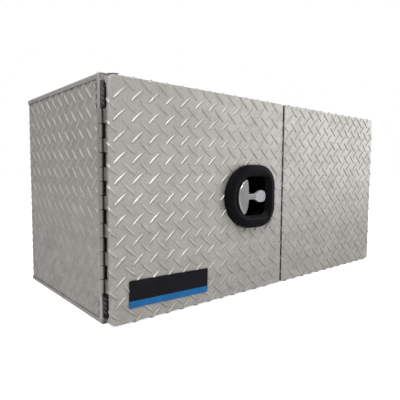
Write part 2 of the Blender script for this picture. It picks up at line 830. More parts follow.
@dataclass
class TreadSheet:
    """One sheet of tread plate in its own view: its flat face, its bends and where its pattern starts.

    origin, right and out place the view; low and high are the flat face's corners between the bend lines'
    outer edges; wrap gives how far the lugs run on past left, right, bottom and top. No lug stands in a
    corner of the given size, nor wholly under an outline in keep_out.
    """

    name: str
    body: str
    origin: Vector
    right: Vector
    out: Vector
    low: tuple[float, float]
    high: tuple[float, float]
    start: tuple[float, float]
    wrap: tuple[float, float, float, float] = (0.0, 0.0, 0.0, 0.0)
    corner: float = 0.003
    keep_out: list[Outline] = field(default_factory=list)
    bend: float = 0.003
    bend_chords: int = 3
    pitch: tuple[float, float] = (0.0361, 0.0374)
    lug: TreadLug = TreadLug()
    clear: float = 0.001

    def spans(self) -> tuple[tuple[float, float], tuple[float, float]]:
        """How far the pattern runs across and up, its wraps included."""
        left, right, below, above = self.wrap
        return (self.low[0] - left, self.high[0] + right), (self.low[1] - below, self.high[1] + above)

    def centres(self, lean: int) -> list[tuple[float, float]]:
        """Centres of the lugs of one lean that the sheet holds.

        Args:
            lean: -1 or 1; the lugs of lean 1 stand half a pitch further on both ways.

        Returns:
            Their places across and up the sheet.
        """
        first = self.start if lean < 0 else tuple(a + b / 2 for a, b in zip(self.start, self.pitch))
        rows = []
        for (near, far), begin, step in zip(self.spans(), first, self.pitch):
            reach = step / 2
            low = math.ceil((near - reach - begin) / step)
            high = math.floor((far + reach - begin) / step)
            rows.append([begin + number * step for number in range(low, high + 1)])
        return [(x, z) for x in rows[0] for z in rows[1] if self.wanted(x, z)]

    def wanted(self, across: float, up: float) -> bool:
        """Whether a lug centred there is off the sheet's corners and not wholly under a cover.

        Args:
            across: the centre's place across the sheet.
            up: its place up the sheet.

        Returns:
            Whether the lug is laid.
        """
        reach = (self.lug.reach_across + self.clear, self.lug.reach_up + self.clear)
        past = [place - half < low + self.corner or place + half > high - self.corner
                for place, half, low, high in zip((across, up), reach, self.low, self.high)]
        if all(past):
            return False
        tips = [(across + a * reach[0], up + b * reach[1]) for a in (-1, 1) for b in (-1, 1)]
        return not any(all(inside(tip, outline) for tip in tips) for outline in self.keep_out)

    def build(self) -> bpy.types.Object:
        """Lay the lugs flat, trim them at the sheet's edges and bend them over its folds.

        Returns:
            One object with every lug of the sheet.
        """
        points: list[np.ndarray] = []
        faces: list[tuple[int, ...]] = []
        for lean in (-1, 1):
            shape, sides = self.lug.template(lean)
            for x, z in self.centres(lean):
                rows, left_over = self.uncovered(shape + np.array([x, z, 0.0]), sides, (x, z))
                first = sum(len(part) for part in points)
                points.append(rows)
                faces.extend(tuple(number + first for number in side) for side in left_over)
        mesh = bpy.data.meshes.new(self.name)
        mesh.from_pydata([tuple(row) for row in np.concatenate(points)], [], faces)
        bm = bmesh.new()
        bm.from_mesh(mesh)
        bpy.data.meshes.remove(mesh)
        for axis, (near, far) in enumerate(self.spans()):
            self.trim(bm, axis, near, -1)
            self.trim(bm, axis, far, 1)
        quarter = self.bend * math.pi / 2
        for axis in (0, 1):
            for part in range(self.bend_chords + 1):
                run = quarter * part / self.bend_chords
                self.trim(bm, axis, self.low[axis] + self.bend - run, 0)
                self.trim(bm, axis, self.high[axis] - self.bend + run, 0)
        for vert in bm.verts:
            vert.co = self.folded(vert.co)
        bmesh.ops.recalc_face_normals(bm, faces=bm.faces)
        return link_mesh(self.name, bm, sharp=50.0)

    def uncovered(self, rows: np.ndarray, sides: list[tuple[int, ...]],
                  centre: tuple[float, float]) -> tuple[np.ndarray, list[tuple[int, ...]]]:
        """Cut one lug off where a cover lies on the sheet.

        Args:
            rows: the lug's points on the flat sheet.
            sides: its faces.
            centre: its centre.

        Returns:
            The points and faces that stay.
        """
        for outline in self.keep_out:
            if not any(inside((row[0], row[1]), outline) for row in rows):
                continue
            start, end = nearest_edge(centre, outline)
            bm = bmesh.new()
            made = [bm.verts.new(row) for row in rows]
            for side in sides:
                bm.faces.new([made[number] for number in side])
            bisect(bm, Vector((*start, 0.0)), Vector((start[1] - end[1], end[0] - start[0], 0.0)), True)
            bm.verts.index_update()
            rows = np.array([tuple(vert.co) for vert in bm.verts]).reshape(-1, 3)
            sides = [tuple(vert.index for vert in face.verts) for face in bm.faces]
            bm.free()
        return rows, sides

    @staticmethod
    def trim(bm: bmesh.types.BMesh, axis: int, level: float, drop: int) -> None:
        """Cut every lug along one line.

        Args:
            bm: the flat lugs.
            axis: 0 cuts across, 1 cuts up.
            level: where the line is.
            drop: 1 drops what lies beyond it, -1 what lies before it, 0 keeps both.
        """
        way = Vector((0, 0, 0))
        way[axis] = drop or 1
        spot = Vector((0, 0, 0))
        spot[axis] = level
        bisect(bm, spot, way, bool(drop))

    def folded(self, flat: Vector) -> Vector:
        """Where a point of the flat sheet comes to lie once its edges are folded back.

        Args:
            flat: (across, up, out) on the unfolded sheet.

        Returns:
            The place in the frame.
        """
        place = [flat[0], flat[1]]
        back = 0.0
        out = flat[2]
        for axis in (0, 1):
            for end, sign in ((self.low[axis] + self.bend, -1), (self.high[axis] - self.bend, 1)):
                past = sign * (flat[axis] - end)
                if past <= 0:
                    continue
                turn = min(past / self.bend, math.pi / 2)
                rest = max(0.0, past - self.bend * math.pi / 2)
                place[axis] = end + sign * (self.bend + flat[2]) * math.sin(turn)
                out = (self.bend + flat[2]) * math.cos(turn) - self.bend
                back = rest
        up = self.out.cross(self.right)
        return self.origin + self.right * place[0] + up * place[1] + self.out * (out - back)


def inside(point: tuple[float, float], outline: Outline) -> bool:
    """Whether a point lies inside a closed outline."""
    found = False
    for (x0, z0), (x1, z1) in zip(outline, outline[1:] + outline[:1]):
        if (z0 > point[1]) != (z1 > point[1]):
            if point[0] < x0 + (point[1] - z0) * (x1 - x0) / (z1 - z0):
                found = not found
    return found


def nearest_edge(point: tuple[float, float], outline: Outline) -> tuple[tuple[float, float], ...]:
    """The edge of a closed outline that lies nearest to a point.

    Args:
        point: the point.
        outline: the outline's corners in order.

    Returns:
        The two ends of that edge.
    """
    spot = Vector(point)
    best = None
    for start, end in zip(outline, outline[1:] + outline[:1]):
        way = Vector(end) - Vector(start)
        share = min(1.0, max(0.0, (spot - Vector(start)).dot(way) / max(way.length_squared, TINY * TINY)))
        gap = (spot - Vector(start) - way * share).length
        if best is None or gap < best[0]:
            best = (gap, (start, end))
    return best[1]


@dataclass
class TreadPattern:
    """The raised pattern on the doors, the sides and the roof."""

    shop: Workshop
    door_start: tuple[float, float] = (-0.4186, 0.4002)
    right_shift: tuple[float, float] = (0.0018, -0.004)
    door_corner: float = 0.006
    hinge_wrap: float = 0.0052
    seam_wrap: float = 0.001
    flange_wrap: float = 0.0188
    under_bezel: float = 0.0012
    wall_start: tuple[float, float] = (0.0490, 0.3910)
    wall_ends: tuple[float, float] = (0.0150, 0.001)
    wall_heights: tuple[float, float] = (0.0085, 0.4467)
    unbent: float = 0.00001
    roof_rim: float = 0.0085

    def build(self) -> None:
        """Lay the lugs of every sheet."""
        for side in Side:
            self.door(side)
            self.wall(side)
        self.roof()

    def door(self, side: Side) -> None:
        """Lugs of one door, wrapped over its top and bottom and a little over its hinge edge.

        Args:
            side: which hand of the box.
        """
        low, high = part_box(side.word + "_door_pan")
        if side is Side.LEFT:
            start, wraps = self.door_start, (self.hinge_wrap, self.seam_wrap)
            keep_out = [bezel_outline(self.under_bezel), LabelPlate(self.shop).outline(0.0)]
        else:
            start = (self.door_start[0] + self.right_shift[0], self.door_start[1] + self.right_shift[1])
            wraps, keep_out = (self.seam_wrap, self.hinge_wrap), []
        sheet = TreadSheet(side.word + "_door_tread", side.word + "_door", Vector((0, low.y, 0)),
                           Vector((1, 0, 0)), Vector((0, -1, 0)), (low.x, low.z), (high.x, high.z), start,
                           (*wraps, self.flange_wrap, self.flange_wrap), self.door_corner, keep_out)
        self.shop.fit(sheet.build(), sheet.body, Slot.TREAD)

    def wall(self, side: Side) -> None:
        """Lugs of one side sheet, kept clear of the lips and the post's strip.

        Args:
            side: which hand of the box.
        """
        low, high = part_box(side.word + "_side_panel")
        front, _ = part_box("left_front_post")
        face = low.x if side is Side.LEFT else high.x
        ends = (front.y + self.wall_ends[0], high.y - self.wall_ends[1])
        near, far = sorted(side.value * end for end in ends)
        start = (side.value * (front.y + self.wall_start[0]), self.wall_start[1])
        bottom, top = self.wall_heights
        sheet = TreadSheet(side.word + "_side_tread", "box", Vector((face, 0, 0)),
                           Vector((0, side.value, 0)), Vector((side.value, 0, 0)), (near, bottom), (far, top),
                           start, corner=0.0, bend=self.unbent)
        self.shop.fit(sheet.build(), sheet.body, Slot.TREAD)

    def roof(self) -> None:
        """Lugs of the roof sheet, ended short of its folded edges."""
        low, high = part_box("top_panel")
        sheet = TreadSheet("roof_tread", "box", Vector((0, 0, high.z)), Vector((1, 0, 0)),
                           Vector((0, 0, 1)), (low.x, low.y), (high.x, high.y), (0.0, 0.0),
                           (-self.roof_rim,) * 4)
        self.shop.fit(sheet.build(), sheet.body, Slot.TREAD)


# Latch


LATCH_CENTRE = Vector((-0.1072, -0.2128, 0.2266))
BEZEL_TO_HINGE = 0.0800
BEZEL_TO_SEAM = 0.0770
BEZEL_HALF_HEIGHT = 0.0728
BEZEL_CORNER = 0.050
OPENING_CORNER = 0.016
QUARTER_CHORDS = 20


def latch_outline(left: float, right: float, top: float, bottom: float, corner: float) -> Outline:
    """An outline round the latch in door view: round towards the hinge, squared towards the seam.

    Args:
        left: how far it reaches towards the hinge.
        right: how far it reaches towards the seam.
        top: how far it reaches up.
        bottom: how far it reaches down.
        corner: the radius of the two corners towards the seam.

    Returns:
        The points, counter-clockwise, in the frame's X and Z.
    """
    middle, half = (top - bottom) / 2, (top + bottom) / 2
    outline = [(x * left, middle + z * half) for x, z in arc((0, 0), 1.0, 90, 270, 2 * QUARTER_CHORDS)]
    outline += arc((right - corner, corner - bottom), corner, 270, 360, QUARTER_CHORDS)
    outline += arc((right - corner, top - corner), corner, 0, 90, QUARTER_CHORDS)
    return [(LATCH_CENTRE.x + x, LATCH_CENTRE.z + z) for x, z in outline]


def bezel_outline(inset: float) -> Outline:
    """The casting's own outline, moved inward by an inset."""
    half = BEZEL_HALF_HEIGHT - inset
    return latch_outline(BEZEL_TO_HINGE - inset, BEZEL_TO_SEAM - inset, half, half, BEZEL_CORNER - inset)


def out_of_door(outline: Outline, distance: float) -> Ring:
    """A ring in front of the doors' face, from a door-view outline."""
    return [Vector((x, LATCH_CENTRE.y - distance, z)) for x, z in outline]


@dataclass
class LatchBezel:
    """The black casting round the handle, its dish, gasket and screws.

    lip holds (inset, rise) pairs of the outer skin; mouth holds the opening's reach to the left, right, top
    and bottom, and its rise. Rises count from the doors' face.
    """

    shop: Workshop
    base: float = 0.0018
    lip: tuple[tuple[float, float], ...] = (
        (0.0, 0.0018), (0.0006, 0.0104), (0.0012, 0.0118), (0.0018, 0.0124), (0.0026, 0.0127),
        (0.0036, 0.0130), (0.0080, 0.0146), (0.0120, 0.0155), (0.0140, 0.0158))
    mouth: tuple[tuple[float, float, float, float, float], ...] = (
        (0.0572, 0.0604, 0.0482, 0.0530, 0.0157), (0.0560, 0.0592, 0.0472, 0.0520, 0.0150),
        (0.0550, 0.0580, 0.0466, 0.0508, 0.0138), (0.0530, 0.0552, 0.0460, 0.0482, 0.0102),
        (0.0516, 0.0528, 0.0458, 0.0460, 0.0066), (0.0506, 0.0500, 0.0456, 0.0448, 0.0036))
    well: float = 0.0459
    well_rise: float = 0.0026
    ledge_slope: float = 0.55
    dish_radius: float = 0.0455
    dish_wall: float = 0.002
    dish_floor: float = 0.022
    dish_bend: float = 0.004
    dish_bore: float = 0.0120
    dish_rim: tuple[float, float] = (0.0003, 0.0015)
    flange: float = 0.056
    gasket_edge: tuple[tuple[float, float], ...] = ((0.0021, 0.0003), (0.0017, 0.0009), (0.0021, 0.0015))
    gasket_inner: float = 0.0190
    shank: float = 0.0019
    head_tall: float = 0.0024
    head_ease: tuple[float, float] = (0.0002, 0.0003)
    head_dome: float = 0.0012
    dome_turns: tuple[float, ...] = (0.4, 0.8, 1.2)
    recess: tuple[float, float, float] = (0.0021, 0.0005, 0.0011)

    def build(self) -> None:
        """Make the casting, the dish behind it and what holds them."""
        shape = Shape()
        rings = [out_of_door(bezel_outline(inset), rise) for inset, rise in self.lip]
        rings += [out_of_door(latch_outline(*reach, OPENING_CORNER), rise) for *reach, rise in self.mouth]
        circle = []
        for point in rings[-1]:
            turn = math.atan2(point.z - LATCH_CENTRE.z, point.x - LATCH_CENTRE.x)
            circle.append((LATCH_CENTRE.x + self.well * math.cos(turn),
                           LATCH_CENTRE.z + self.well * math.sin(turn)))
        rings += [out_of_door(circle, self.well_rise), out_of_door(circle, self.base)]
        shape.loft(rings, closed=True)
        bezel = shape.piece("bezel_casting", sharp=40)
        self.shop.dress(bezel, Slot.CASTING, Special.WELL, Special.LEDGE)
        floor = LATCH_CENTRE.y - self.mouth[-1][-1] - HAIR
        for face in bezel.data.polygons:
            unlit = all(bezel.data.vertices[number].co.y > floor for number in face.vertices)
            ledge = face.normal.z > self.ledge_slope and face.center.z < LATCH_CENTRE.z
            face.material_index = 1 if unlit else 2 if ledge else 0
        self.shop.fit(bezel, "left_door", Slot.CASTING, "latch_bezel")
        self.dish()
        self.gasket()
        for number in range(1, 5):
            self.screw(f"latch_screw_{number}")

    def dish(self) -> None:
        """The round cup that the handle sits in."""
        floor, back, radius = -self.dish_floor, -self.dish_floor - self.dish_wall, self.dish_radius
        under, over = self.dish_rim
        inner, outer = self.dish_bend, self.dish_bend + self.dish_wall
        profile = [(self.dish_bore, floor)] + arc((radius - inner, floor + inner), inner, 270, 360, 6)
        profile += [(radius, over), (self.flange, over), (self.flange, under),
                    (radius + self.dish_wall, under)]
        profile += arc((radius - inner, back + outer), outer, 0, -90, 6)
        profile += [(self.dish_bore, back), (self.dish_bore, floor)]
        shape = Shape()
        shape.turn([(r, -out) for r, out in profile], LATCH_CENTRE, Axis.Y, 72)
        dish = shape.piece("handle_dish", sharp=40)
        self.shop.dress(dish, Special.WELL)
        self.shop.fit(dish, "left_door", Slot.CASTING, "latch_dish")

    def gasket(self) -> None:
        """Thin rubber ring between the casting and the skin."""
        inner = bezel_outline(self.gasket_inner)
        rings = [out_of_door(bezel_outline(inset), rise) for inset, rise in self.gasket_edge]
        rings += [out_of_door(inner, self.gasket_edge[-1][1]), out_of_door(inner, self.gasket_edge[0][1])]
        shape = Shape()
        shape.loft(rings, closed=True)
        self.shop.fit(shape.piece("bezel_gasket", sharp=40), "left_door", Slot.RUBBER, "latch_gasket")

    def screw(self, name: str) -> None:
        """A pan-head screw through the back plate, with a cross recess.

        Args:
            name: the screw's node, which it replaces.
        """
        low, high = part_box(name)
        centre = (low + high) / 2
        head = (high.x - low.x) / 2
        under, crown = high.y - self.head_tall, high.y - self.head_dome
        profile = [(0.0, low.y), (self.shank, low.y), (self.shank, under), (head - self.head_ease[0], under),
                   (head, under + self.head_ease[1]), (head, crown)]
        profile += [(head * math.cos(turn), crown + self.head_dome * math.sin(turn))
                    for turn in self.dome_turns]
        shape = Shape()
        shape.turn(profile + [(0.0, high.y)], Vector((centre.x, 0, centre.z)), Axis.Y, 32)
        screw = shape.piece(name.replace("latch", "bezel"), sharp=40)
        long, short, deep = self.recess
        for wide, tall in ((long, short), (short, long)):
            slot = Shape()
            box_shape(slot, (centre.x - wide, high.y - deep, centre.z - tall),
                      (centre.x + wide, high.y + OVERRUN, centre.z + tall))
            carve(screw, slot.piece("cross_recess"), sharp=40)
        self.shop.fit(screw, "left_door", Slot.ZINC, name)


@dataclass
class FoldingHandle:
    """The T handle: a lens blade, a flared neck and a squared thumb lobe on a hub.

    bevel holds (inset, drop behind the front) pairs round the front face.
    """

    shop: Workshop
    tips: tuple[float, float] = (-0.0275, -0.0215)
    tip_height: float = 0.0395
    tip_blunt: float = 0.0022
    bulge: float = -0.0456
    inner: float = -0.0150
    full: float = 2.5
    blade_chords: int = 15
    neck: float = 0.0062
    root: tuple[tuple[float, float], ...] = ((0.0006, 0.0009), (0.0022, 0.0002))
    root_gap: float = 0.0024
    flare: float = 0.0240
    flare_chords: int = 10
    lobe_centre: float = 0.0262
    lobe_reach: float = 0.0146
    lobe_half: float = 0.0139
    lobe_square: float = 2.4
    lobe_sweep: float = 84
    lobe_step: float = 7
    rim: float = 0.0021
    steep: float = 0.97
    neck_end: float = 0.0070
    back: float = 0.0085
    back_ease: float = 0.0007
    front: float = 0.0145
    bevel: tuple[tuple[float, float], ...] = (
        (0.0, 0.0021), (0.0003, 0.0011), (0.0009, 0.0003), (0.0015, 0.0), (0.0019, 0.0001), (0.0023, 0.0002),
        (0.0026, 0.0002))
    fold: float = 0.003
    hub_radius: float = 0.0045
    hub_half: float = 0.0057
    hub_ease: float = 0.0004
    web_inset: float = 0.0002
    web_ease: float = 0.0006

    def outline(self) -> Outline:
        """The handle's outline round the latch's centre, counter-clockwise.

        Returns:
            Points from the upper tip down the blade's outer edge and back over the lobe.
        """
        half = self.blade_chords
        blade_out = [self.blade(step / half - 1, self.bulge, -self.tip_blunt) for step in range(2 * half + 1)]
        blade_in = [self.blade(1 - step / half, self.inner, self.tip_blunt) for step in range(1, 2 * half)]
        below = [(x, z) for x, z in blade_in if z < -self.neck - self.root_gap]
        above = [(x, z) for x, z in blade_in if z > self.neck + self.root_gap]
        flare = [(self.inner + across, self.neck + up) for across, up in self.root]
        for step in range(self.flare_chords + 1):
            share = step / self.flare_chords
            swell = 0.5 - 0.5 * math.cos(math.pi * share)
            flare.append((self.flare * share, self.neck + (self.lobe_half - self.neck) * swell))
        round_end: Outline = []
        power = 2 / self.lobe_square
        for step in range(int(2 * self.lobe_sweep / self.lobe_step) + 1):
            turn = math.radians(-self.lobe_sweep + self.lobe_step * step)
            across = abs(math.cos(turn)) ** power
            tall = math.copysign(abs(math.sin(turn)) ** power, turn)
            round_end.append((self.lobe_centre + self.lobe_reach * across, self.lobe_half * tall))
        return blade_out + below + [(x, -z) for x, z in flare] + round_end + list(reversed(flare)) + above

    def blade(self, share: float, middle: float, blunt: float) -> tuple[float, float]:
        """One point of the blade's edge.

        Args:
            share: -1 at the upper tip, 1 at the lower one.
            middle: how far out the edge is at its middle.
            blunt: half the width of the tip, with the edge's sign.

        Returns:
            The point round the latch's centre.
        """
        tip = self.tips[1] + (self.tips[0] - self.tips[1]) * (share + 1) / 2 + blunt
        lift = 1 - abs(share) ** self.full
        return tip + (middle - tip) * lift, -share * self.tip_height

    def build(self) -> None:
        """Make the handle with its bevelled rim and its hub."""
        outline = [(LATCH_CENTRE.x + x, LATCH_CENTRE.z + z) for x, z in self.outline()]
        steps = [(self.back_ease, self.back), (0.0, self.back + self.back_ease)]
        steps += [(inset, self.front - drop) for inset, drop in self.bevel]
        shape = Shape()
        shape.loft([out_of_door(shrunk(outline, inset), rise) for inset, rise in steps])
        centre = LATCH_CENTRE + Vector((0, -self.fold, 0))
        hub = eased_bar(self.hub_radius, -self.hub_half, self.hub_half, self.hub_ease)
        shape.turn(hub, centre, Axis.Z, 36)
        wide, tall = self.hub_radius - self.web_inset, self.hub_half - self.web_inset
        box_shape(shape, (centre.x - wide, LATCH_CENTRE.y - self.back - OVERRUN, centre.z - tall),
                  (centre.x + wide, LATCH_CENTRE.y - self.fold, centre.z + tall), self.web_ease)
        handle = shape.piece("t_handle", sharp=28)
        self.shop.dress(handle, Slot.HANDLE, Special.RIM, Special.THUMB)
        neck = LATCH_CENTRE.x + self.neck_end
        split(handle, Vector((neck, 0, 0)), Vector((1, 0, 0)))
        flat = LATCH_CENTRE.y - self.front + self.rim
        for face in handle.data.polygons:
            edge = face.center.y < flat and abs(face.normal.y) < self.steep
            face.material_index = 1 if edge else 2 if face.center.x > neck else 0
        self.shop.fit(handle, "handle", Slot.HANDLE, "latch_handle")


# Hinges, seals, rods and bolts


@dataclass
class PianoHinge:
    """One continuous hinge: two leaves of curled knuckles on a pin."""

    shop: Workshop
    side: Side
    knuckles: int = 13
    gap: float = 0.0015
    radius: float = 0.0045
    sheet: float = 0.0018
    pin: float = 0.0023
    pin_ease: float = 0.0005
    curl: float = 295.0
    curl_chords: int = 40
    curl_end: float = 0.8
    clearance: float = 0.0008
    door_notch: float = 0.0229
    end_run: float = 0.002

    def build(self) -> None:
        """Make both leaves and the pin."""
        word = self.side.word
        leaf_low, leaf_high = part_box(word + "_hinge_body_leaf")
        door_low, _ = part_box(word + "_hinge_door_leaf")
        pin_low, pin_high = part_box(word + "_hinge_pin")
        axis = (pin_low + pin_high) / 2
        wide = max(abs(leaf_low.x - axis.x), abs(leaf_high.x - axis.x))
        deep = door_low.y - axis.y
        bore = self.radius - self.sheet
        span = (leaf_low.z, leaf_high.z)
        self.leaf("body", "box", axis, span, ((wide, self.radius), (wide, bore)), 90.0)
        self.leaf("door", word + "_door", axis, span, ((self.radius, deep), (bore, deep)), 0.0)
        shape = Shape()
        shape.turn(eased_bar(self.pin, pin_low.z, pin_high.z, self.pin_ease), Vector((axis.x, axis.y, 0)),
                   Axis.Z, 32)
        pin = shape.piece(word + "_pin", sharp=50)
        self.shop.dress(pin, Special.PAD)
        self.shop.fit(pin, "box", Slot.ZINC, word + "_hinge_pin")

    def leaf(self, kind: str, body: str, axis: Vector, span: tuple[float, float],
             sheet_end: tuple[tuple[float, float], ...], first: float) -> None:
        """One leaf, rolled round the pin and notched for the other leaf's knuckles.

        Args:
            kind: body or door, as in the node's name.
            body: the CAD body that it moves with.
            axis: the hinge's axis.
            span: its lowest and highest height.
            sheet_end: where its flat sheet ends, on the outer and the inner skin.
            first: where the roll begins, in degrees.
        """
        outer = [sheet_end[0]] + arc((0, 0), self.radius, first, first + self.curl, self.curl_chords)
        inner = arc((0, 0), self.radius - self.sheet, first + self.curl, first, self.curl_chords)
        edge = (outer[-1][0] * self.curl_end, outer[-1][1] * self.curl_end)
        loop = outer + [edge] + inner + [sheet_end[1]]
        shape = Shape()
        shape.stand([(axis.x - self.side.value * x, axis.y + y) for x, y in loop], *span)
        leaf = shape.piece(f"{self.side.word}_{kind}_knuckles", sharp=50)
        carve(leaf, self.notches(axis, span, kind == "door"), sharp=50)
        self.shop.fit(leaf, body, Slot.HINGE, f"{self.side.word}_hinge_{kind}_leaf")

    def notches(self, axis: Vector, span: tuple[float, float], door: bool) -> bpy.types.Object:
        """Blocks that clear the other leaf's knuckles.

        Args:
            axis: the hinge's axis.
            span: the hinge's lowest and highest height.
            door: whether they cut the door's leaf, which starts with a knuckle and is notched deep.

        Returns:
            One object of blocks.
        """
        low, high = span
        pitch = (high - low) / self.knuckles
        reach = self.radius + self.clearance
        front = max(reach, self.door_notch) if door else reach
        shape = Shape()
        for index in range(int(door), self.knuckles, 2):
            bottom = low + index * pitch - (self.end_run if index == 0 else self.gap / 2)
            top = low + (index + 1) * pitch + (self.end_run if index == self.knuckles - 1 else self.gap / 2)
            box_shape(shape, (axis.x - reach, axis.y - front, bottom), (axis.x + reach, axis.y + reach, top))
        return shape.piece("notches")


@dataclass
class Seals:
    """The opening's bulb seal, and the meeting strip with its ribs and its nose in the seam."""

    shop: Workshop
    bulb: float = 0.0067
    squash: float = 0.94
    pressed: float = 0.0064
    corner: float = 0.010
    ribs: int = 3
    rib_chords: int = 30
    rib_depth: float = 0.28
    nose: float = 0.0036
    nose_back: float = 0.0011
    bend: float = 0.003
    cling: float = 0.0001

    def build(self) -> None:
        """Make both seals."""
        self.bulb_seal()
        self.strip()

    def bulb_seal(self) -> None:
        """The tube round the opening, pressed flat where the doors meet it."""
        low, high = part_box("opening_seal")
        middle = (low.y + high.y) / 2
        path = rounded_box((low.x + self.bulb, low.z + self.bulb), (high.x - self.bulb, high.z - self.bulb),
                           self.corner, 10)
        section = arc((0, 0), self.bulb, 0, 360, 28)[:-1]
        rings = []
        for number, (x, z) in enumerate(path):
            before, after = path[number - 1], path[(number + 1) % len(path)]
            way = Vector((after[0] - before[0], 0, after[1] - before[1])).normalized()
            side = Vector((way.z, 0, -way.x))
            ring = []
            for across, deep in section:
                back = min(deep * (self.squash if deep > 0 else 1.0), self.pressed)
                ring.append(Vector((x, middle, z)) + side * across + Vector((0, back, 0)))
            rings.append(ring)
        shape = Shape()
        shape.loft(rings, closed=True)
        self.shop.fit(shape.piece("bulb_seal", sharp=60), "box", Slot.RUBBER, "opening_seal")

    def strip(self) -> None:
        """The strip on the right door: its ribs, and a nose that fills the seam."""
        low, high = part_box("meeting_seal")
        face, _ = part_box("right_door_pan")
        width, depth = high.x - low.x, high.y - low.y
        outline: Outline = [(high.x, low.y), (high.x, high.y)]
        for step in range(self.rib_chords + 1):
            share = step / self.rib_chords
            dip = 0.5 - 0.5 * math.cos(share * math.pi * 2 * self.ribs)
            outline.append((low.x + width * self.rib_depth * dip, high.y - depth * share))
        nose: Outline = [(face.x - self.nose, low.y - self.cling),
                         (face.x - self.nose, face.y + self.nose_back)]
        bend, reach = self.bend, self.bend + self.cling
        for turn in (math.radians(45 - 9 * step) for step in range(6)):
            nose.append((face.x + bend - reach * math.cos(turn), face.y + bend - reach * math.sin(turn)))
        shape = Shape()
        shape.stand(outline, low.z, high.z)
        shape.stand(nose, low.z, high.z)
        self.shop.fit(shape.piece("meeting_strip", sharp=60), "right_door", Slot.RUBBER, "meeting_seal")


